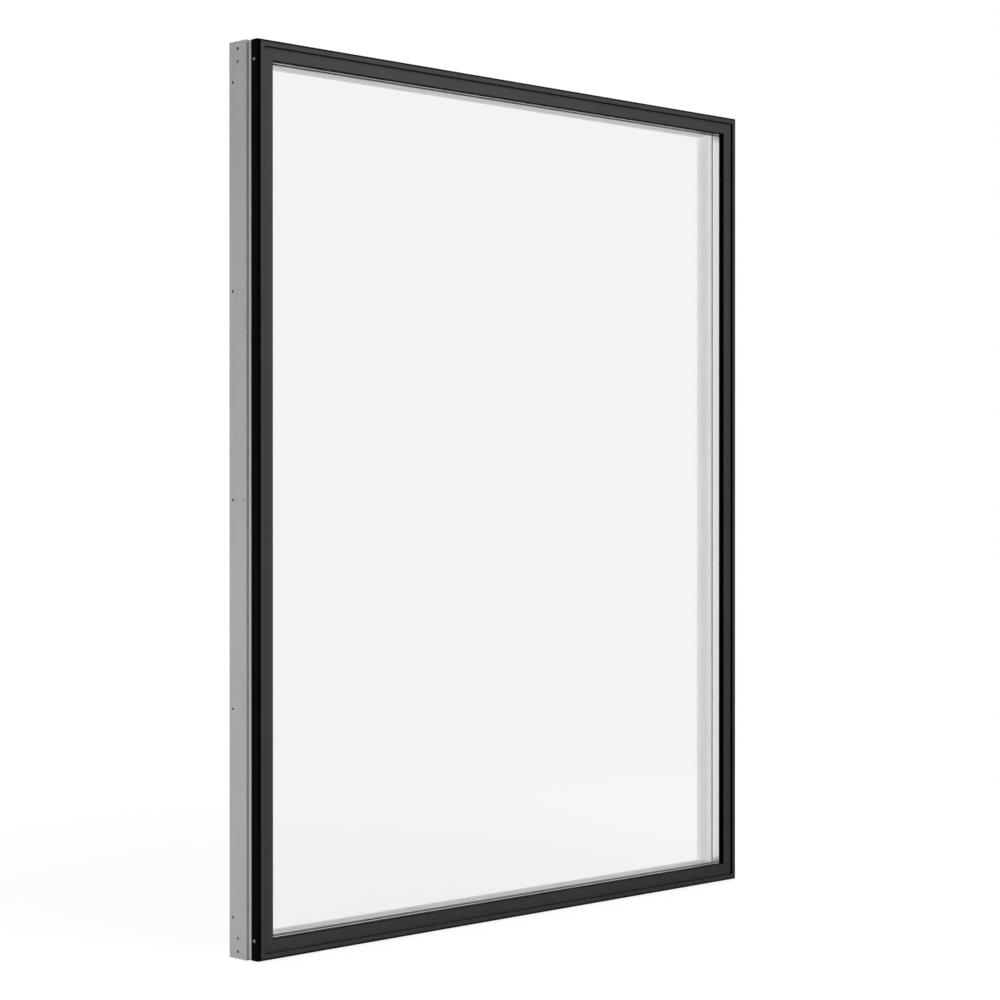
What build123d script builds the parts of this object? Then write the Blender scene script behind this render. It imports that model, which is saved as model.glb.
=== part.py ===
from build123d import *
import os

# Fixed fibreglass window, seen from outside with +Y pointing into the room.
# Origin: middle of the sill's underside, halfway through the frame's depth.
# A section is drawn as (inward, back): inward from the outer edge of the frame
# towards the glass, back from the front of the lip towards the room.

# Overall size
WIDTH = 1219.2
HEIGHT = 1524.0
DEPTH = 77.8

# Pultruded frame lineal
SIGHT_LINE = 35.2
FRAME_WALL = 2.2
POCKET_FLOOR = 15.0
TONGUE_START = 4.0
TONGUE_END = 8.0
NOSE_FRONT = 14.0
BAND_INSET = 2.8
SHOULDER_BACK = 31.8
SHOULDER_ROUND = 1.2
BEAD_SEAT = 51.8
ROOM_EDGE_ROUND = 1.5
WALL_EDGE_ROUND = 0.8
BEAD_LINE_ROUND = 0.6

# Kerf for a nailing fin, a short land ahead of the shoulder
KERF_LAND = 1.2
KERF_WIDTH = 1.2
KERF_DEPTH = 0.8

# Black exterior cap: a channel with a leg on each side of the tongue, and a lip
# that stands proud and laps over the exterior stop
CAP_INSET = 1.5
CAP_WALL = 2.5
CAP_BACK = 21.8
CAP_BACK_ROUND = 1.2
CAP_LEG_END = 10.5
LIP_END = 13.2
LIP_ROUND = 5.0
LIP_EDGE_ROUND = 0.8

# Exterior and interior stops that hold the glass
STOP_WALL = 2.0
FACE_SETBACK = 5.0
STOP_FOOT_START = 21.0
STOP_EDGE_ROUND = 1.7
BEAD_HEEL_STEP = 2.0
BEAD_EDGE_ROUND = 0.8

# Snap leg of the exterior stop, and the slot in the lineal's nose that it clips into
LEG_INSET = 0.5
LEG_THICKNESS = 1.3
LEG_CLEARANCE = 0.1
BARB_REACH = 0.5
BARB_LENGTH = 1.6

# Snap ridge under the interior bead, and its groove in the pocket floor
RIDGE_FROM_SEAT = 4.0
RIDGE_WIDTH = 2.0
RIDGE_HEIGHT = 0.8

# Sealed glass unit
GLASS_EDGE = 20.5
GLASS_FRONT = 17.0
PANE_THICKNESS = 3.0
CAVITY = 16.0
SPACER_OUTER = 26.0
SPACER_INNER = 33.0
SPACER_WALL = 0.9
SPACER_ROUND = 1.2

# Glazing tape and setting blocks
TAPE_THICKNESS = 0.8
TAPE_START = 22.0
TAPE_RECESS = 0.6
BLOCK_LENGTH = 100.0
BLOCK_FROM_CORNER = 0.25

# Corner keys inside the outer chamber
KEY_LEG = 62.0
KEY_CLEARANCE = 0.2
KEY_PILOT_RADIUS = 1.6
KEY_SKIN = 2.5
KEY_RIB = 2.5
KEY_SCREW_RIB = 9.0

# Holes in the outer wall of both jambs
FIXING_HOLE_RADIUS = 2.2
FIXING_HOLE_BACK = 68.0
FIXING_HOLE_FROM_END = 67.2
KEY_HOLE_BACK = 54.9
KEY_HOLE_RADIUS = 2.5
KEY_HOLE_FROM_END = 11.9
KEY_SCREW_FROM_END = 33.9
DIMPLE_RADIUS = 1.5
DIMPLE_DEPTH = 1.0
DIMPLE_BACK = 40.0
CUT_OVERRUN = 1.0

# Places that follow from the sizes above
FACE_BACK = GLASS_FRONT - TAPE_THICKNESS
PANE_BACK = GLASS_FRONT + PANE_THICKNESS
INNER_PANE_FRONT = PANE_BACK + CAVITY
UNIT_BACK = INNER_PANE_FRONT + PANE_THICKNESS
BEAD_FRONT = UNIT_BACK + TAPE_THICKNESS
BEAD_HEEL = BEAD_FRONT + BEAD_HEEL_STEP
CHAMBER_BACK = DEPTH - FRAME_WALL
FIXING_HOLE_PITCH = (HEIGHT / 2 - FIXING_HOLE_FROM_END) / 2
KERF_BACK = SHOULDER_BACK - KERF_LAND
KERF_FRONT = KERF_BACK - KERF_WIDTH
KERF_FLOOR = BAND_INSET + KERF_DEPTH
TAPE_END = SIGHT_LINE - TAPE_RECESS
LEG_START = CAP_LEG_END + LEG_INSET
LEG_END = LEG_START + LEG_THICKNESS
BARB_FRONT = NOSE_FRONT + FRAME_WALL + LEG_CLEARANCE
BARB_BACK = BARB_FRONT + BARB_LENGTH
RIDGE_BACK = BEAD_SEAT - RIDGE_FROM_SEAT
RIDGE_FRONT = RIDGE_BACK - RIDGE_WIDTH
KEY_OUTER = FRAME_WALL + KEY_CLEARANCE
KEY_INNER = POCKET_FLOOR - FRAME_WALL - KEY_CLEARANCE
KEY_FRONT = SHOULDER_BACK + FRAME_WALL + KEY_CLEARANCE
KEY_BACK = CHAMBER_BACK - KEY_CLEARANCE
TURN = {"left": 0, "head": 90, "right": 180, "sill": 270}


def section(*corners):
    """Closed face through (inward, back, corner radius) points."""
    face = make_face(Polyline(*[(w, d) for w, d, _ in corners], close=True))
    for inward, back, radius in corners:
        if radius > 0:
            corner = face.vertices().sort_by_distance((inward, back))[0]
            face = fillet(corner, radius)
    return face


def block(inward, back, along):
    """Box from three (low, high) pairs in a side's own directions."""
    size = [high - low for low, high in (inward, back, along)]
    middle = [(high + low) / 2 for low, high in (inward, back, along)]
    return Pos(*middle) * Box(*size)


def hole_across(radius, back, along, low, high):
    """Round cutter that runs inward from low to high."""
    return Pos((low + high) / 2, back, along) * Rot(0, 90, 0) * Cylinder(radius, high - low)


def side_length(side):
    return HEIGHT if side in ("left", "right") else WIDTH


def side_distance(side):
    return (WIDTH if side in ("left", "right") else HEIGHT) / 2


def mitred(face, side):
    """Section run along one side and cut at 45 degrees at both ends."""
    half = side_length(side) / 2
    reach = SIGHT_LINE + FRAME_WALL
    blank = Plane.XZ * make_face(
        Polyline((0, -half), (reach, reach - half), (reach, half - reach), (0, half), close=True)
    )
    return extrude(face, half, both=True) & extrude(blank, 2 * DEPTH, both=True)


def place(solid, side):
    """Turn a piece made for the left side to where its own side is."""
    centre = Pos(0, -DEPTH / 2, HEIGHT / 2)
    return centre * Rot(0, TURN[side], 0) * Pos(-side_distance(side), 0, 0) * solid


def frame_section():
    """Hollow lineal: outer chamber over the full depth, inner one behind the bead."""
    body = section(
        (TONGUE_START, CAP_WALL, 0),
        (TONGUE_END, CAP_WALL, 0),
        (TONGUE_END, NOSE_FRONT, 0),
        (POCKET_FLOOR, NOSE_FRONT, 0),
        (POCKET_FLOOR, BEAD_SEAT, 0),
        (SIGHT_LINE, BEAD_SEAT, BEAD_LINE_ROUND),
        (SIGHT_LINE, DEPTH, ROOM_EDGE_ROUND),
        (0, DEPTH, WALL_EDGE_ROUND),
        (0, SHOULDER_BACK, SHOULDER_ROUND),
        (BAND_INSET, SHOULDER_BACK, 0),
        (BAND_INSET, KERF_BACK, 0),
        (KERF_FLOOR, KERF_BACK, 0),
        (KERF_FLOOR, KERF_FRONT, 0),
        (BAND_INSET, KERF_FRONT, 0),
        (BAND_INSET, CAP_BACK, 0),
        (TONGUE_START, CAP_BACK, 0),
    )
    web = POCKET_FLOOR - FRAME_WALL
    outer_chamber = section(
        (TONGUE_START + FRAME_WALL, NOSE_FRONT + FRAME_WALL, 0),
        (web, NOSE_FRONT + FRAME_WALL, 0),
        (web, CHAMBER_BACK, 0),
        (FRAME_WALL, CHAMBER_BACK, 0),
        (FRAME_WALL, SHOULDER_BACK + FRAME_WALL, 0),
        (BAND_INSET + FRAME_WALL, SHOULDER_BACK + FRAME_WALL, 0),
        (BAND_INSET + FRAME_WALL, CAP_BACK + FRAME_WALL, 0),
        (TONGUE_START + FRAME_WALL, CAP_BACK + FRAME_WALL, 0),
    )
    inner_chamber = section(
        (POCKET_FLOOR, BEAD_SEAT + FRAME_WALL, 0),
        (SIGHT_LINE - FRAME_WALL, BEAD_SEAT + FRAME_WALL, 0),
        (SIGHT_LINE - FRAME_WALL, CHAMBER_BACK, 0),
        (POCKET_FLOOR, CHAMBER_BACK, 0),
    )
    snap_slot = section(
        (LEG_START - LEG_CLEARANCE, NOSE_FRONT, 0),
        (LEG_END + LEG_CLEARANCE, NOSE_FRONT, 0),
        (LEG_END + LEG_CLEARANCE, NOSE_FRONT + FRAME_WALL, 0),
        (LEG_START - LEG_CLEARANCE, NOSE_FRONT + FRAME_WALL, 0),
    )
    bead_groove = section(
        (POCKET_FLOOR - RIDGE_HEIGHT, RIDGE_FRONT, 0),
        (POCKET_FLOOR, RIDGE_FRONT, 0),
        (POCKET_FLOOR, RIDGE_BACK, 0),
        (POCKET_FLOOR - RIDGE_HEIGHT, RIDGE_BACK, 0),
    )
    return body - outer_chamber - inner_chamber - snap_slot - bead_groove


def cap_section():
    """Channel that grips the lineal's tongue, with a lip that laps over the stop's face."""
    return section(
        (CAP_INSET, 0, LIP_ROUND),
        (LIP_END, 0, LIP_EDGE_ROUND),
        (LIP_END, FACE_SETBACK, 0),
        (CAP_LEG_END, FACE_SETBACK, 0),
        (CAP_LEG_END, NOSE_FRONT, 0),
        (TONGUE_END, NOSE_FRONT, 0),
        (TONGUE_END, CAP_WALL, 0),
        (TONGUE_START, CAP_WALL, 0),
        (TONGUE_START, CAP_BACK, 0),
        (CAP_INSET, CAP_BACK, CAP_BACK_ROUND),
    )


def exterior_stop_section():
    """Hollow black stop: flat face, rounded edge at the glass, foot on the tape."""
    body = section(
        (CAP_LEG_END, FACE_SETBACK, 0),
        (SIGHT_LINE, FACE_SETBACK, STOP_EDGE_ROUND),
        (SIGHT_LINE, FACE_BACK, 0),
        (STOP_FOOT_START, FACE_BACK, 0),
        (STOP_FOOT_START, NOSE_FRONT, 0),
        (LEG_END, NOSE_FRONT, 0),
        (LEG_END, BARB_BACK, 0),
        (LEG_START, BARB_BACK, 0),
        (LEG_START - BARB_REACH, BARB_FRONT, 0),
        (LEG_START, BARB_FRONT, 0),
        (LEG_START, NOSE_FRONT, 0),
        (CAP_LEG_END, NOSE_FRONT, 0),
    )
    chamber = section(
        (CAP_LEG_END + STOP_WALL, FACE_SETBACK + STOP_WALL, 0),
        (SIGHT_LINE - STOP_WALL, FACE_SETBACK + STOP_WALL, 0),
        (SIGHT_LINE - STOP_WALL, FACE_BACK - STOP_WALL, 0),
        (STOP_FOOT_START + STOP_WALL, FACE_BACK - STOP_WALL, 0),
        (STOP_FOOT_START + STOP_WALL, NOSE_FRONT - STOP_WALL, 0),
        (CAP_LEG_END + STOP_WALL, NOSE_FRONT - STOP_WALL, 0),
    )
    return body - chamber


def interior_bead_section():
    """Hollow white bead between the glass and the lineal's inner leg."""
    body = section(
        (STOP_FOOT_START, BEAD_FRONT, 0),
        (SIGHT_LINE, BEAD_FRONT, BEAD_EDGE_ROUND),
        (SIGHT_LINE, BEAD_SEAT, BEAD_EDGE_ROUND),
        (POCKET_FLOOR, BEAD_SEAT, 0),
        (POCKET_FLOOR, RIDGE_BACK, 0),
        (POCKET_FLOOR - RIDGE_HEIGHT, RIDGE_BACK, 0),
        (POCKET_FLOOR - RIDGE_HEIGHT, RIDGE_FRONT, 0),
        (POCKET_FLOOR, RIDGE_FRONT, 0),
        (POCKET_FLOOR, BEAD_HEEL, 0),
        (STOP_FOOT_START, BEAD_HEEL, 0),
    )
    chamber = section(
        (STOP_FOOT_START + STOP_WALL, BEAD_FRONT + STOP_WALL, 0),
        (SIGHT_LINE - STOP_WALL, BEAD_FRONT + STOP_WALL, 0),
        (SIGHT_LINE - STOP_WALL, BEAD_SEAT - STOP_WALL, 0),
        (POCKET_FLOOR + STOP_WALL, BEAD_SEAT - STOP_WALL, 0),
        (POCKET_FLOOR + STOP_WALL, BEAD_HEEL + STOP_WALL, 0),
        (STOP_FOOT_START + STOP_WALL, BEAD_HEEL + STOP_WALL, 0),
    )
    return body - chamber


def spacer_section():
    """Hollow bar that keeps the two panes apart."""
    body = section(
        (SPACER_OUTER, PANE_BACK, SPACER_ROUND),
        (SPACER_INNER, PANE_BACK, 0),
        (SPACER_INNER, INNER_PANE_FRONT, 0),
        (SPACER_OUTER, INNER_PANE_FRONT, SPACER_ROUND),
    )
    chamber = section(
        (SPACER_OUTER + SPACER_WALL, PANE_BACK + SPACER_WALL, 0),
        (SPACER_INNER - SPACER_WALL, PANE_BACK + SPACER_WALL, 0),
        (SPACER_INNER - SPACER_WALL, INNER_PANE_FRONT - SPACER_WALL, 0),
        (SPACER_OUTER + SPACER_WALL, INNER_PANE_FRONT - SPACER_WALL, 0),
    )
    return body - chamber


def jamb_holes():
    """Cutters for one jamb: five fixing holes, four key holes and a dimple."""
    half = HEIGHT / 2
    outside = -CUT_OVERRUN
    through = FRAME_WALL + CUT_OVERRUN
    holes = [
        hole_across(FIXING_HOLE_RADIUS, FIXING_HOLE_BACK, step * FIXING_HOLE_PITCH, outside, through)
        for step in (-2, -1, 0, 1, 2)
    ]
    for end in (-1, 1):
        for from_end in (KEY_HOLE_FROM_END, KEY_SCREW_FROM_END):
            along = end * (half - from_end)
            holes.append(hole_across(KEY_HOLE_RADIUS, KEY_HOLE_BACK, along, outside, through))
    holes.append(hole_across(DIMPLE_RADIUS, DIMPLE_BACK, 0, outside, DIMPLE_DEPTH))
    return holes


def jamb(side):
    bar = mitred(frame_section(), side)
    for cutter in jamb_holes():
        bar -= cutter
    return bar


def pane(front):
    """Sheet of glass whose front face is that far behind the lip."""
    width = WIDTH - 2 * GLASS_EDGE
    height = HEIGHT - 2 * GLASS_EDGE
    middle = Pos(0, front + PANE_THICKNESS / 2 - DEPTH / 2, HEIGHT / 2)
    return middle * Box(width, PANE_THICKNESS, height)


def ring(outer, inner, front, back):
    """Rectangular ring around the opening, between two inward distances."""
    sheet = Rectangle(WIDTH - 2 * outer, HEIGHT - 2 * outer) - Rectangle(WIDTH - 2 * inner, HEIGHT - 2 * inner)
    flat = extrude(Plane.XZ * sheet, front - back)
    return Pos(0, front - DEPTH / 2, HEIGHT / 2) * flat


def setting_block(end):
    """Pad under the glass unit at a quarter of its width."""
    middle = end * (WIDTH / 2 - BLOCK_FROM_CORNER * WIDTH)
    pad = block(
        (POCKET_FLOOR, GLASS_EDGE),
        (GLASS_FRONT, UNIT_BACK),
        (middle - BLOCK_LENGTH / 2, middle + BLOCK_LENGTH / 2),
    )
    return place(pad, "sill")


def key_pockets():
    """Moulding pockets of one key leg, as (back, along) ranges between its ribs."""
    middle = KEY_HOLE_BACK
    across = [
        (KEY_FRONT + KEY_RIB, middle - KEY_SCREW_RIB / 2),
        (middle + KEY_SCREW_RIB / 2, KEY_BACK - KEY_RIB),
    ]
    lengthwise = [
        (KEY_INNER + KEY_RIB, KEY_SCREW_FROM_END - KEY_SCREW_RIB / 2),
        (KEY_SCREW_FROM_END + KEY_SCREW_RIB / 2, KEY_LEG - KEY_RIB),
    ]
    return [(back, along) for back in across for along in lengthwise]


def corner_key(horizontal, vertical):
    """Ribbed L, open towards the glass, that joins two lineals through their outer chambers."""
    shape = section(
        (KEY_OUTER, KEY_OUTER, 0),
        (KEY_LEG, KEY_OUTER, 0),
        (KEY_LEG, KEY_INNER, 0),
        (KEY_INNER, KEY_INNER, 0),
        (KEY_INNER, KEY_LEG, 0),
        (KEY_OUTER, KEY_LEG, 0),
    )
    key = Pos(0, KEY_FRONT, 0) * extrude(Plane.XZ * shape, KEY_FRONT - KEY_BACK)
    depth = (KEY_OUTER + KEY_SKIN, KEY_INNER)
    for back, along in key_pockets():
        key -= block(depth, back, along)
        key -= block(along, back, depth)
    for from_end in (KEY_HOLE_FROM_END, KEY_SCREW_FROM_END):
        key -= hole_across(KEY_PILOT_RADIUS, KEY_HOLE_BACK, from_end, 0, KEY_INNER)
    key = Pos(-WIDTH / 2, -DEPTH / 2, -HEIGHT / 2) * key
    if vertical > 0:
        key = mirror(key, Plane.XY)
    if horizontal > 0:
        key = mirror(key, Plane.YZ)
    return Pos(0, 0, HEIGHT / 2) * key


def build():
    pieces = {}
    for side in TURN:
        pieces["exterior_frame_" + side] = place(mitred(cap_section(), side), side)
        pieces["exterior_stop_" + side] = place(mitred(exterior_stop_section(), side), side)
        pieces["interior_bead_" + side] = place(mitred(interior_bead_section(), side), side)
        pieces["spacer_" + side] = place(mitred(spacer_section(), side), side)
    pieces["frame_head"] = place(mitred(frame_section(), "head"), "head")
    pieces["frame_sill"] = place(mitred(frame_section(), "sill"), "sill")
    pieces["left_jamb"] = place(jamb("left"), "left")
    pieces["right_jamb"] = place(jamb("right"), "right")
    pieces["outer_pane"] = pane(GLASS_FRONT)
    pieces["inner_pane"] = pane(INNER_PANE_FRONT)
    pieces["edge_sealant"] = ring(GLASS_EDGE, SPACER_OUTER, PANE_BACK, INNER_PANE_FRONT)
    pieces["exterior_glazing_tape"] = ring(TAPE_START, TAPE_END, FACE_BACK, GLASS_FRONT)
    pieces["interior_glazing_tape"] = ring(TAPE_START, TAPE_END, UNIT_BACK, BEAD_FRONT)
    for name, end in (("left", -1), ("right", 1)):
        pieces["setting_block_" + name] = setting_block(end)
        pieces["corner_key_top_" + name] = corner_key(end, 1)
        pieces["corner_key_bottom_" + name] = corner_key(end, -1)
    return pieces


os.makedirs("parts", exist_ok=True)
for node, solid in build().items():
    export_step(solid, "parts/" + node + ".step")
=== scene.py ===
import math

import bmesh
import bpy
from mathutils import Matrix, Vector


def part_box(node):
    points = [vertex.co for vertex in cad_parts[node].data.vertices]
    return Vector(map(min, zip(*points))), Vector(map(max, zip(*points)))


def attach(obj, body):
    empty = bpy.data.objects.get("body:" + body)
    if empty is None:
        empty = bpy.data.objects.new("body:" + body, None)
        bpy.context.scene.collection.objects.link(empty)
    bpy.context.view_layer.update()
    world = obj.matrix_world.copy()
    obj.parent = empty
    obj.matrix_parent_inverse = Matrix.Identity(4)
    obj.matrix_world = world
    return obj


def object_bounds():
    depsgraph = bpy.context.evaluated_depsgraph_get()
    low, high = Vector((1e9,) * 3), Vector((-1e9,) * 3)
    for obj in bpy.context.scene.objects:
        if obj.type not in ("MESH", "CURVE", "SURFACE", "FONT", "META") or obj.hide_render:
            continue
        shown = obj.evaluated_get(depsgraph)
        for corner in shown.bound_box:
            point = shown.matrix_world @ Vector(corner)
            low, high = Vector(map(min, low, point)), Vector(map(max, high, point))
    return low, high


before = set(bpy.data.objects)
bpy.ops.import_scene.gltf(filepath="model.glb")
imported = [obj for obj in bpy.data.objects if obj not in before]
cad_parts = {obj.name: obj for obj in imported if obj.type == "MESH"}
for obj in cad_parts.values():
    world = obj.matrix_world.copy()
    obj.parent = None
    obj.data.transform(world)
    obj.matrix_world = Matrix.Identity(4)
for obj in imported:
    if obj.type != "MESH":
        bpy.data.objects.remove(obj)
cad_low, cad_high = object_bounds()

# Sizes in metres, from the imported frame
WIDTH = cad_high.x - cad_low.x
HEIGHT = cad_high.z - cad_low.z
FRONT = cad_low.y
BACK = cad_high.y
MIDDLE = Vector((0, 0, HEIGHT / 2))
SPACER_MIDDLE = (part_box("spacer_left")[0].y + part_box("spacer_left")[1].y) / 2
KEY_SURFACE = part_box("corner_key_top_left")[0].x + WIDTH / 2
CAP_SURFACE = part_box("exterior_frame_left")[0].x + WIDTH / 2

# Camera: where the photographer stood, which way it looks, and its lens and sensor in mm
CAMERA_PLACE = Vector((-3.0713, -3.1188, 0.7737))
CAMERA_TURN = math.radians(44.414)
CAMERA_TILT = math.radians(-0.165)
CAMERA_LENS = 85.88
CAMERA_SENSOR = 36.0
CAMERA_NEAR = 0.05
CAMERA_FAR = 200.0

# Light levels, where 1 is white
WHITE = 1.0
AMBIENT = 0.3

# Floor: lit diffuse near the window, fading to plain white before the horizon
FLOOR_HALF = 40.0
FLOOR_ALBEDO = 0.7
FLOOR_LIT_SHARE = 0.3
FLOOR_NEAR_WHITE = 1.21
FLOOR_FADE_START = 1.0
FLOOR_FADE_END = 2.6

# Where the room's white paint ends on the lineals, and where the painted shade inside the section and
# its holes begins
PAINT_FROM_EDGE = 0.03
PAINT_FROM_FRONT = 0.045
PAINT_FROM_BACK = 0.0004
HOLE_SHADE_FROM_EDGE = 0.00005
HOLE_SHADE_FROM_FRONT = 0.04
PAINT_BLEND = 0.0001

# Screws: back from the lip's front, up from the end of the jamb, and how far the
# key screws' heads stop below the jamb's face
CAP_SCREW_BACK = 0.0133
CAP_SCREW_FROM_END = 0.0345
CAP_SCREW_RADIUS = 0.0028
CAP_SCREW_DOME = 0.0014
KEY_SCREW_BACK = 0.0549
KEY_SCREW_FROM_END = 0.0339
KEY_SCREW_RADIUS = 0.0024
KEY_SCREW_DOME = 0.0007
KEY_SCREW_SUNK = 0.0003

# Screw heads: rings up the dome, facets around it and the power that rounds its crown,
# then the cross recess as shares of the head's radius and of its dome
HEAD_RINGS = 8
HEAD_FACETS = 40
HEAD_CROWN = 0.6
RECESS_HALF = 0.16
RECESS_REACH = 0.55
RECESS_FLOOR = 0.4
RECESS_TOP = 2
SMOOTH_ANGLE = math.radians(35)

# Spacer: the pinholes' pitch, each row's distance from the middle, and where a hole's
# soft edge starts and ends
PIN_PITCH = 0.0024
PIN_ROW = 0.0022
PIN_RADIUS = 0.00028
PIN_EDGE = 0.00038

# How rough the room's paint is on the lineals
PAINTED_ROUGHNESS = 0.4

# Depths of relief, in metres
PEEL_DEPTH = 0.00003
DRAWN_DEPTH = 0.00004
STRAND_DEPTH = 0.00008
BRUSHED_DEPTH = 0.00004
LUMP_DEPTH = 0.0001
MOTTLE_DEPTH = 0.00002

# Colours: one shade, or the two that a finish drifts between
# The black paint's near black sides are painted shade; its fronts drift between two charcoal shades
BLACK_SIDES_PAINTED_SHADE = (0.0012, 0.0012, 0.0013)
BLACK_FRONT_FACES = ((0.0465, 0.0465, 0.048), (0.0515, 0.0515, 0.053))
FIBREGLASS_BARE = ((0.29, 0.29, 0.29), (0.335, 0.335, 0.335))
FIBREGLASS_DUSTY = (0.36, 0.36, 0.355)
# Near black painted shade inside the lineals' holes and chambers
FIBREGLASS_HOLE_SHADE = (0.02, 0.02, 0.02)
ROOM_WHITE = ((0.915, 0.918, 0.85), (0.945, 0.948, 0.885))
GLASS_TINT = ((0.943, 0.944, 0.947), (0.946, 0.947, 0.95))
SPACER_BRIGHT = ((0.93, 0.93, 0.93), (0.97, 0.97, 0.97))
SPACER_PINHOLE_SHADE = (0.25, 0.25, 0.25)
SEALANT = ((0.02, 0.02, 0.021), (0.04, 0.04, 0.042))
DARK_FOAM = ((0.016, 0.016, 0.016), (0.03, 0.03, 0.03))
PALE_FOAM = ((0.9, 0.9, 0.88), (0.95, 0.95, 0.93))
PACKER_RUBBER = ((0.012, 0.012, 0.012), (0.025, 0.025, 0.025))
KEY_NYLON = ((0.003, 0.003, 0.003), (0.006, 0.006, 0.006))
CAP_SCREW_ZINC = ((0.17, 0.17, 0.17), (0.24, 0.24, 0.24))
# The key screws' zinc is darker than the cap screws' as painted shade
KEY_SCREW_ZINC_SHADED = ((0.1, 0.1, 0.1), (0.15, 0.15, 0.15))

# Which axes lie across a bar of the frame, as x, y and z flags
VERTICAL = (1, 1, 0)
HORIZONTAL = (0, 1, 1)


class Shader:
    """A material's node tree, built a node at a time."""

    def __init__(self, name):
        self.material = bpy.data.materials.new(name)
        self.material.use_nodes = True
        self.tree = self.material.node_tree
        self.tree.nodes.clear()
        self.output = self.tree.nodes.new("ShaderNodeOutputMaterial")

    def node(self, kind, **values):
        made = self.tree.nodes.new("ShaderNode" + kind)
        for key, value in values.items():
            setattr(made, key, value)
        return made

    def link(self, source, target):
        self.tree.links.new(source, target)

    def principled(self, **inputs):
        made = self.node("BsdfPrincipled")
        for key, value in inputs.items():
            made.inputs[key.replace("_", " ")].default_value = value
        self.link(made.outputs[0], self.output.inputs[0])
        return made

    def place(self, stretch=(1, 1, 1)):
        """Object coordinates, scaled to draw a texture out along a bar."""
        where = self.node("TexCoord")
        scaled = self.node("Mapping")
        scaled.inputs["Scale"].default_value = stretch
        self.link(where.outputs["Object"], scaled.inputs["Vector"])
        return scaled.outputs["Vector"]

    def axes(self, kind):
        """X, Y and Z of a texture coordinate: Object or Normal."""
        where = self.node("TexCoord")
        parts = self.node("SeparateXYZ")
        self.link(where.outputs[kind], parts.inputs[0])
        return parts.outputs

    def noise(self, place, scale, detail, roughness=0.55):
        made = self.node("TexNoise")
        made.inputs["Scale"].default_value = scale
        made.inputs["Detail"].default_value = detail
        made.inputs["Roughness"].default_value = roughness
        self.link(place, made.inputs["Vector"])
        return made.outputs["Fac"]

    def spread(self, source, low, high, start=0.3, end=0.7):
        """A factor turned into a value between low and high."""
        made = self.node("MapRange")
        made.inputs["From Min"].default_value = start
        made.inputs["From Max"].default_value = end
        made.inputs["To Min"].default_value = low
        made.inputs["To Max"].default_value = high
        self.link(source, made.inputs["Value"])
        return made.outputs["Result"]

    def math(self, operation, first, second=0):
        made = self.node("Math", operation=operation)
        for socket, value in zip(made.inputs, (first, second)):
            if isinstance(value, (int, float)):
                socket.default_value = value
            else:
                self.link(value, socket)
        return made.outputs[0]

    def blend(self, factor, first, second):
        """A colour between two, each a colour or a socket."""
        made = self.node("Mix", data_type="RGBA")
        self.link(factor, made.inputs["Factor"])
        for socket, value in ((made.inputs[6], first), (made.inputs[7], second)):
            if isinstance(value, tuple):
                socket.default_value = (*value, 1)
            else:
                self.link(value, socket)
        return made.outputs[2]

    def bump(self, height, distance, strength=1.0, base=None):
        made = self.node("Bump")
        made.inputs["Distance"].default_value = distance
        made.inputs["Strength"].default_value = strength
        self.link(height, made.inputs["Height"])
        if base is not None:
            self.link(base, made.inputs["Normal"])
        return made.outputs[0]


def drawn_out(across, along):
    """Texture scale that runs long marks down a bar."""
    return tuple(1.0 if flag else along for flag in across)


def painted_light_by_facing(s):
    """Painted light and shade by facing: 1 on faces that look out front, part of that on faces that look
    up, 0 on the others.
    """
    _, y, z = s.axes("Normal")
    facing_front = s.spread(s.math("MULTIPLY", y, -1), low=0, high=1, start=0.93, end=0.995)
    facing_up = s.spread(z, low=0, high=0.45, start=0.97, end=0.999)
    return s.math("MAXIMUM", facing_front, facing_up)


def satin_black(name, across):
    """Baked satin black paint: charcoal on faces that look out front, part way on faces that look up,
    near black on its sides as painted shade.
    """
    s = Shader(name)
    fine = s.noise(s.place(), scale=1100.0, detail=2.0)
    cloud = s.noise(s.place(), scale=9.0, detail=4.0)
    drawn = s.noise(s.place(drawn_out(across, 0.012)), scale=700.0, detail=2.0)
    front_tone = s.blend(s.spread(cloud, 0, 1), *BLACK_FRONT_FACES)
    # Painted shade and light: sides near black, fronts charcoal, faces that look up part way between
    colour = s.blend(painted_light_by_facing(s), BLACK_SIDES_PAINTED_SHADE, front_tone)
    shader = s.principled(Specular_IOR_Level=0.01)
    s.link(colour, shader.inputs["Base Color"])
    rough = s.math("ADD", s.spread(cloud, 0.42, 0.5), s.spread(fine, -0.02, 0.02))
    s.link(rough, shader.inputs["Roughness"])
    peel = s.bump(fine, PEEL_DEPTH)
    s.link(s.bump(drawn, DRAWN_DEPTH, base=peel), shader.inputs["Normal"])
    return s.material


def frame_masks(s):
    """Two masks: painted white for the room, and painted shade inside the holes and chambers."""
    x, y, z = s.axes("Object")
    from_side = s.math("SUBTRACT", WIDTH / 2, s.math("ABSOLUTE", x))
    from_head = s.math("SUBTRACT", HEIGHT, z)
    inward = s.math("MINIMUM", from_side, s.math("MINIMUM", z, from_head))
    deep = s.spread(inward, 0, 1, PAINT_FROM_EDGE - PAINT_BLEND, PAINT_FROM_EDGE + PAINT_BLEND)
    start = FRONT + PAINT_FROM_FRONT
    roomward = s.spread(y, 0, 1, start, start + PAINT_BLEND)
    face = s.spread(y, 0, 1, BACK - PAINT_FROM_BACK - PAINT_BLEND, BACK - PAINT_FROM_BACK)
    painted = s.math("MAXIMUM", face, s.math("MULTIPLY", deep, roomward))
    # Painted shade: the inside of the section and its holes, behind the front, goes near black
    inside = s.spread(inward, 0, 1, HOLE_SHADE_FROM_EDGE, HOLE_SHADE_FROM_EDGE + PAINT_BLEND)
    behind = s.spread(y, 0, 1, FRONT + HOLE_SHADE_FROM_FRONT, FRONT + HOLE_SHADE_FROM_FRONT + PAINT_BLEND)
    return painted, s.math("MULTIPLY", inside, behind)


def white_tone(s, cloud):
    """The room's warm white, on the lineals and on the beads."""
    return s.blend(s.spread(cloud, 0, 1), *ROOM_WHITE)


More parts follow.
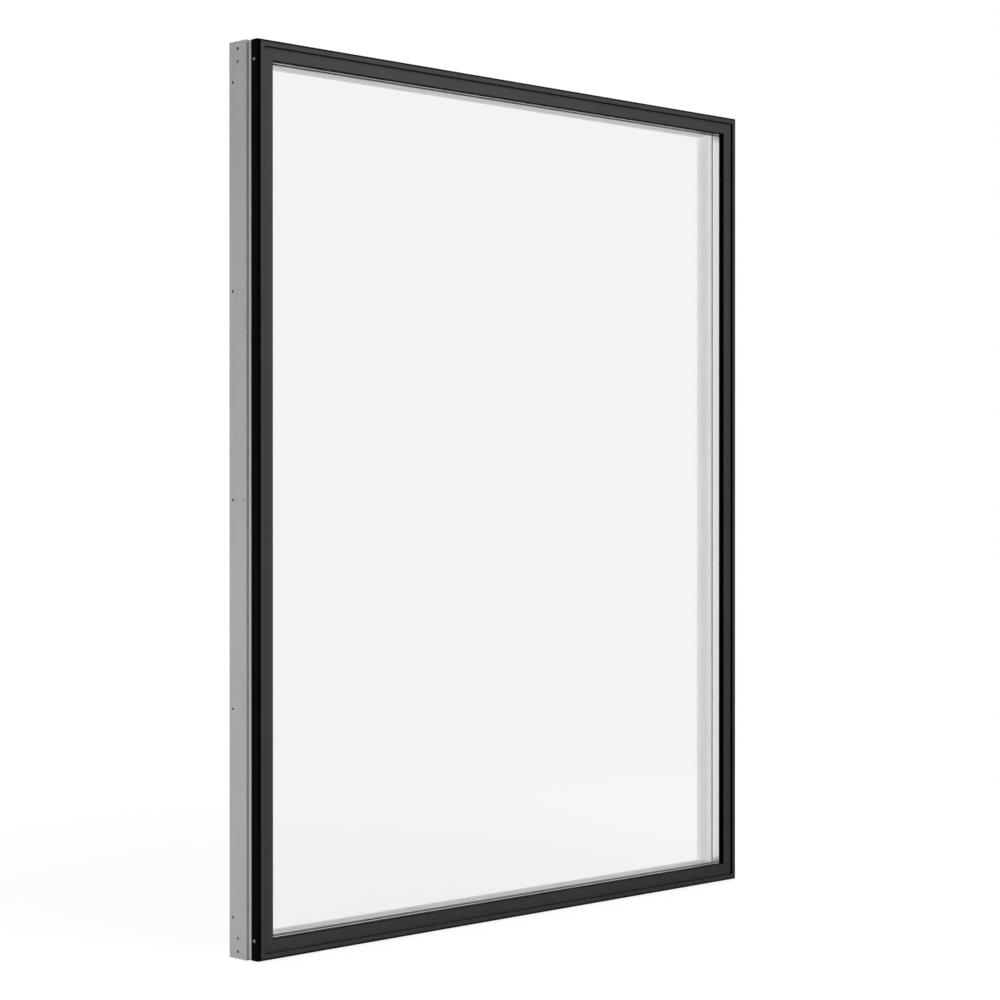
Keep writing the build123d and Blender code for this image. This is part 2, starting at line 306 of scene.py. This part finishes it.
def frame_fibreglass(name, across):
    """Pultruded lineal: bare grey with drawn glass strands, painted white in the room, with painted
    shade inside its holes and chambers.
    """
    s = Shader(name)
    cloud = s.noise(s.place(), scale=7.0, detail=4.0)
    strands = s.noise(s.place(drawn_out(across, 0.006)), scale=900.0, detail=4.0, roughness=0.6)
    fine = s.noise(s.place(), scale=1300.0, detail=2.0)
    bare = s.blend(s.spread(strands, 0, 1, start=0.35, end=0.65), *FIBREGLASS_BARE)
    dusty = s.blend(s.spread(cloud, 0, 0.35), bare, FIBREGLASS_DUSTY)
    painted, hole_shade = frame_masks(s)
    # Painted shade inside the holes and chambers, over the bare grey
    bare_and_hole_shade = s.blend(hole_shade, dusty, FIBREGLASS_HOLE_SHADE)
    shader = s.principled(Specular_IOR_Level=0.15)
    s.link(s.blend(painted, bare_and_hole_shade, white_tone(s, cloud)), shader.inputs["Base Color"])
    rough = s.node("Mix", data_type="FLOAT")
    s.link(painted, rough.inputs["Factor"])
    s.link(s.spread(strands, 0.52, 0.66), rough.inputs[2])
    rough.inputs[3].default_value = PAINTED_ROUGHNESS
    s.link(rough.outputs[0], shader.inputs["Roughness"])
    grooves = s.bump(strands, STRAND_DEPTH, strength=0.7)
    s.link(s.bump(fine, PEEL_DEPTH, base=grooves), shader.inputs["Normal"])
    return s.material


def interior_white(name, across):
    """Warm white satin paint on the beads, with the drawn grain just showing."""
    s = Shader(name)
    cloud = s.noise(s.place(), scale=7.0, detail=4.0)
    fine = s.noise(s.place(), scale=1300.0, detail=2.0)
    drawn = s.noise(s.place(drawn_out(across, 0.01)), scale=700.0, detail=2.0)
    shader = s.principled(Specular_IOR_Level=0.4)
    s.link(white_tone(s, cloud), shader.inputs["Base Color"])
    s.link(s.spread(fine, 0.36, 0.44), shader.inputs["Roughness"])
    peel = s.bump(fine, PEEL_DEPTH)
    s.link(s.bump(drawn, DRAWN_DEPTH, base=peel), shader.inputs["Normal"])
    return s.material


def clear_glass(name):
    """Clear float glass whose tint drifts very slightly."""
    s = Shader(name)
    shader = s.principled(Roughness=0.0, IOR=1.5, Transmission_Weight=1.0)
    drift = s.noise(s.place(), scale=2.2, detail=1.0)
    s.link(s.blend(drift, *GLASS_TINT), shader.inputs["Base Color"])
    return s.material


def spacer_metal(name, across):
    """Bright folded aluminium with two rows of breather pinholes, drawn as dents with painted shade."""
    s = Shader(name)
    x, y, z = s.axes("Object")
    along = z if across == VERTICAL else x
    step = s.math("SUBTRACT", s.math("FRACT", s.math("DIVIDE", along, PIN_PITCH)), 0.5)
    along_pin = s.math("MULTIPLY", step, PIN_PITCH)
    across_pin = s.math("SUBTRACT", s.math("ABSOLUTE", s.math("SUBTRACT", y, SPACER_MIDDLE)), PIN_ROW)
    reach = s.math("SQRT", s.math("ADD", s.math("POWER", along_pin, 2), s.math("POWER", across_pin, 2)))
    pinhole = s.spread(reach, 1, 0, start=PIN_RADIUS, end=PIN_EDGE)
    brushed = s.noise(s.place(drawn_out(across, 0.01)), scale=1200.0, detail=3.0)
    metal = s.blend(s.spread(brushed, 0, 1), *SPACER_BRIGHT)
    shader = s.principled(Metallic=1.0)
    # Painted shade: each pinhole is a grey dot on the metal
    s.link(s.blend(pinhole, metal, SPACER_PINHOLE_SHADE), shader.inputs["Base Color"])
    s.link(s.spread(brushed, 0.14, 0.22), shader.inputs["Roughness"])
    s.link(s.bump(s.math("SUBTRACT", brushed, pinhole), BRUSHED_DEPTH), shader.inputs["Normal"])
    return s.material


def rubbery(name, shades, grain, rough, gloss=0.25):
    """Sealant, foam tape, packers and moulded keys: matt, slightly uneven."""
    s = Shader(name)
    uneven = 0.08
    lumps = s.noise(s.place(), grain, detail=4.0)
    shader = s.principled(Specular_IOR_Level=gloss)
    s.link(s.blend(s.spread(lumps, 0, 1), *shades), shader.inputs["Base Color"])
    s.link(s.spread(lumps, rough - uneven, rough + uneven), shader.inputs["Roughness"])
    s.link(s.bump(lumps, LUMP_DEPTH), shader.inputs["Normal"])
    return s.material


def dull_zinc(name, shades):
    """Screw head with its zinc gone dull and finely mottled, in the shades given; the key screws' darker
    shades are painted shade.
    """
    s = Shader(name)
    mottle = s.noise(s.place(), scale=2600.0, detail=3.0)
    shader = s.principled(Metallic=0.5)
    s.link(s.blend(s.spread(mottle, 0, 1), *shades), shader.inputs["Base Color"])
    s.link(s.spread(mottle, 0.4, 0.55), shader.inputs["Roughness"])
    s.link(s.bump(mottle, MOTTLE_DEPTH), shader.inputs["Normal"])
    return s.material


def give(piece, material):
    piece.data.materials.clear()
    piece.data.materials.append(material)


def dress_nodes():
    """Every node of the frame gets its finish."""
    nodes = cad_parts
    lengths = (("vertical", VERTICAL, ("left", "right")), ("horizontal", HORIZONTAL, ("head", "sill")))
    for tag, across, sides in lengths:
        black = satin_black("satin_black_" + tag, across)
        bare = frame_fibreglass("frame_fibreglass_" + tag, across)
        white = interior_white("interior_white_" + tag, across)
        metal = spacer_metal("spacer_metal_" + tag, across)
        for side in sides:
            give(nodes["exterior_frame_" + side], black)
            give(nodes["exterior_stop_" + side], black)
            give(nodes[side + "_jamb" if across == VERTICAL else "frame_" + side], bare)
            give(nodes["interior_bead_" + side], white)
            give(nodes["spacer_" + side], metal)
    glass = clear_glass("clear_glass")
    give(nodes["outer_pane"], glass)
    give(nodes["inner_pane"], glass)
    give(nodes["edge_sealant"], rubbery("edge_sealant", SEALANT, grain=260.0, rough=0.6))
    give(nodes["exterior_glazing_tape"], rubbery("foam_tape", DARK_FOAM, grain=900.0, rough=0.75))
    give(nodes["interior_glazing_tape"], rubbery("pale_foam_tape", PALE_FOAM, grain=900.0, rough=0.75))
    packer = rubbery("packer_rubber", PACKER_RUBBER, grain=400.0, rough=0.6)
    nylon = rubbery("key_nylon", KEY_NYLON, grain=700.0, rough=0.6, gloss=0.05)
    for end in ("left", "right"):
        give(nodes["setting_block_" + end], packer)
        give(nodes["corner_key_top_" + end], nylon)
        give(nodes["corner_key_bottom_" + end], nylon)


def new_piece(name, mesh):
    """An object in the scene from a finished bmesh, which is freed."""
    body = bpy.data.meshes.new(name)
    mesh.to_mesh(body)
    mesh.free()
    piece = bpy.data.objects.new(name, body)
    bpy.context.scene.collection.objects.link(piece)
    return piece


def cross_cutter(half, reach, low, high):
    """Two crossed bars as one closed mesh, for the recess."""
    corners = []
    arm = [(half, half), (reach, half), (reach, -half)]
    for _ in range(4):
        corners += arm
        arm = [(y, -x) for x, y in arm]
    mesh = bmesh.new()
    base = [mesh.verts.new((x, y, low)) for x, y in corners]
    face = mesh.faces.new(base)
    made = bmesh.ops.extrude_face_region(mesh, geom=[face])
    up = [v for v in made["geom"] if isinstance(v, bmesh.types.BMVert)]
    bmesh.ops.translate(mesh, verts=up, vec=(0, 0, high - low))
    bmesh.ops.recalc_face_normals(mesh, faces=mesh.faces)
    return new_piece("cross", mesh)


def cut_away(piece, cutter):
    """Take the cutter's shape out of a piece, for good."""
    cut = piece.modifiers.new("cut", "BOOLEAN")
    cut.operation = "DIFFERENCE"
    cut.solver = "EXACT"
    cut.object = cutter
    bpy.context.view_layer.update()
    shaped = bpy.data.meshes.new_from_object(piece.evaluated_get(bpy.context.evaluated_depsgraph_get()))
    piece.modifiers.clear()
    piece.data = shaped
    bpy.data.objects.remove(cutter)


def smooth_dome(piece):
    """The dome shades smoothly and the recess keeps its sharp edges."""
    faces = piece.data.polygons
    faces.foreach_set("use_smooth", [True] * len(faces))
    piece.data.set_sharp_from_angle(angle=SMOOTH_ANGLE)
    piece.modifiers.new("normals", "WEIGHTED_NORMAL").keep_sharp = True


def screw_head(name, radius, dome, skirt, place, outward):
    """Domed head with a cross recess, on a straight skirt that reaches down to its seat."""
    rows = [(radius, -skirt)] if skirt else []
    for ring in range(HEAD_RINGS):
        rise = ring / HEAD_RINGS * math.pi / 2
        rows.append((radius * math.cos(rise) ** HEAD_CROWN, dome * math.sin(rise)))
    mesh = bmesh.new()
    turns = [2 * math.pi * step / HEAD_FACETS for step in range(HEAD_FACETS)]
    circles = [[mesh.verts.new((r * math.cos(a), r * math.sin(a), z)) for a in turns] for r, z in rows]
    top = mesh.verts.new((0, 0, dome))
    for step in range(HEAD_FACETS):
        after = (step + 1) % HEAD_FACETS
        for lower, upper in zip(circles, circles[1:]):
            mesh.faces.new((lower[step], lower[after], upper[after], upper[step]))
        mesh.faces.new((circles[-1][step], circles[-1][after], top))
    mesh.faces.new(list(reversed(circles[0])))
    head = new_piece(name, mesh)
    half = radius * RECESS_HALF
    reach = radius * RECESS_REACH
    cut_away(head, cross_cutter(half, reach, dome * RECESS_FLOOR, dome * RECESS_TOP))
    head.data.transform(Matrix.Translation(place) @ outward.to_track_quat("Z", "Y").to_matrix().to_4x4())
    smooth_dome(head)
    return head


def add_screws():
    """Corner screws on both sides: one through the cap, one into the corner key."""
    key_dome_start = KEY_SCREW_SUNK + KEY_SCREW_DOME
    kinds = (
        ("cap", CAP_SURFACE, CAP_SCREW_BACK, CAP_SCREW_FROM_END, CAP_SCREW_RADIUS, CAP_SCREW_DOME,
         0, dull_zinc("cap_screw_zinc", CAP_SCREW_ZINC)),
        # The key screws' darker zinc is painted shade
        ("key", key_dome_start, KEY_SCREW_BACK, KEY_SCREW_FROM_END, KEY_SCREW_RADIUS, KEY_SCREW_DOME,
         KEY_SURFACE - key_dome_start, dull_zinc("key_screw_zinc_shaded", KEY_SCREW_ZINC_SHADED)),
    )
    for side, sign in (("left", -1), ("right", 1)):
        outward = Vector((sign, 0, 0))
        for end in ("bottom", "top"):
            for kind, inset, back, from_end, radius, dome, skirt, finish in kinds:
                z = from_end if end == "bottom" else HEIGHT - from_end
                place = Vector((sign * (WIDTH / 2 - inset), FRONT + back, z))
                head = screw_head(f"{kind}_screw_{end}_{side}", radius, dome, skirt, place, outward)
                give(head, finish)
                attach(head, "root")


def add_camera():
    """The photograph's viewing angle."""
    data = bpy.data.cameras.new("camera")
    data.lens = CAMERA_LENS
    data.sensor_width = CAMERA_SENSOR
    data.clip_start = CAMERA_NEAR
    data.clip_end = CAMERA_FAR
    camera = bpy.data.objects.new("camera", data)
    camera.location = CAMERA_PLACE
    flat = math.cos(CAMERA_TILT)
    ahead = Vector((math.sin(CAMERA_TURN) * flat, math.cos(CAMERA_TURN) * flat, math.sin(CAMERA_TILT)))
    camera.rotation_euler = ahead.to_track_quat("-Z", "Y").to_euler()
    bpy.context.scene.collection.objects.link(camera)
    bpy.context.scene.camera = camera


def background_share(tree):
    """1 for rays that should meet the white background: seen, mirrored or through glass."""
    path = tree.nodes.new("ShaderNodeLightPath")
    total = path.outputs["Is Camera Ray"]
    for kind in ("Is Glossy Ray", "Is Transmission Ray"):
        add = tree.nodes.new("ShaderNodeMath")
        add.operation = "MAXIMUM"
        tree.links.new(total, add.inputs[0])
        tree.links.new(path.outputs[kind], add.inputs[1])
        total = add.outputs[0]
    return total


def add_world():
    """Even surround: white where it is seen, mirrored or looked through to, dimmer as light."""
    world = bpy.data.worlds.new("studio")
    world.use_nodes = True
    bpy.context.scene.world = world
    tree = world.node_tree
    level = tree.nodes.new("ShaderNodeMapRange")
    level.inputs["To Min"].default_value = AMBIENT
    level.inputs["To Max"].default_value = WHITE
    tree.links.new(background_share(tree), level.inputs["Value"])
    tree.links.new(level.outputs["Result"], tree.nodes["Background"].inputs["Strength"])
    tree.nodes["Background"].inputs["Color"].default_value = (1, 1, 1, 1)


def floor_sheet():
    """Square sheet at the foot of the window, far larger than the view."""
    mesh = bpy.data.meshes.new("floor")
    corners = [(x * FLOOR_HALF, y * FLOOR_HALF, 0) for x, y in ((-1, -1), (1, -1), (1, 1), (-1, 1))]
    mesh.from_pydata(corners, [], [(0, 1, 2, 3)])
    sheet = bpy.data.objects.new("floor", mesh)
    bpy.context.scene.collection.objects.link(sheet)
    return sheet


def add_floor():
    """White floor that keeps the window's shadow and joins the background before the horizon."""
    floor = floor_sheet()
    s = Shader("floor_white")
    diffuse = s.node("BsdfDiffuse")
    diffuse.inputs["Color"].default_value = (FLOOR_ALBEDO, FLOOR_ALBEDO, FLOOR_ALBEDO, 1)
    away = s.node("VectorMath", operation="LENGTH")
    s.link(s.place(), away.inputs[0])
    distance = away.outputs["Value"]
    white = s.node("Emission")
    strength = s.spread(distance, FLOOR_NEAR_WHITE, WHITE, FLOOR_FADE_START, FLOOR_FADE_END)
    s.link(strength, white.inputs["Strength"])
    plain = s.spread(distance, 1 - FLOOR_LIT_SHARE, 1, FLOOR_FADE_START, FLOOR_FADE_END)
    mixed = s.node("MixShader")
    s.link(s.math("MULTIPLY", background_share(s.tree), plain), mixed.inputs[0])
    s.link(diffuse.outputs[0], mixed.inputs[1])
    s.link(white.outputs[0], mixed.inputs[2])
    s.link(mixed.outputs[0], s.output.inputs[0])
    give(floor, s.material)


def direction(azimuth, elevation):
    """Away from the window; azimuth 0 is straight out in front, 90 to its right."""
    turn, rise = math.radians(azimuth), math.radians(elevation)
    return Vector((math.sin(turn) * math.cos(rise), -math.cos(turn) * math.cos(rise), math.sin(rise)))


def lamp(name, azimuth, elevation, distance, size, power, glossy=False):
    """Square soft lamp that looks at the middle of the window: degrees, metres and watts."""
    away = direction(azimuth, elevation)
    data = bpy.data.lights.new(name, "AREA")
    data.shape = "SQUARE"
    data.size = size
    data.energy = power
    made = bpy.data.objects.new(name, data)
    made.location = MIDDLE + away * distance
    made.rotation_euler = (-away).to_track_quat("-Z", "Y").to_euler()
    made.visible_camera = False
    made.visible_transmission = False
    made.visible_glossy = glossy
    bpy.context.scene.collection.objects.link(made)


def add_lights():
    """Soft lamps all round, of which only the key shows as a highlight."""
    lamp("key", azimuth=-5, elevation=37.4, distance=1.8, size=1.4, power=26.4, glossy=True)
    lamp("left_fill", azimuth=-64, elevation=-10, distance=1.8, size=1.0, power=6.5)
    lamp("back_left", azimuth=225, elevation=-3, distance=4.0, size=1.0, power=105)
    lamp("right_fill", azimuth=105, elevation=10, distance=2.6, size=1.4, power=26)


add_camera()
add_world()
add_floor()
add_lights()
dress_nodes()
add_screws()
bpy.context.scene.view_settings.view_transform = "Standard"
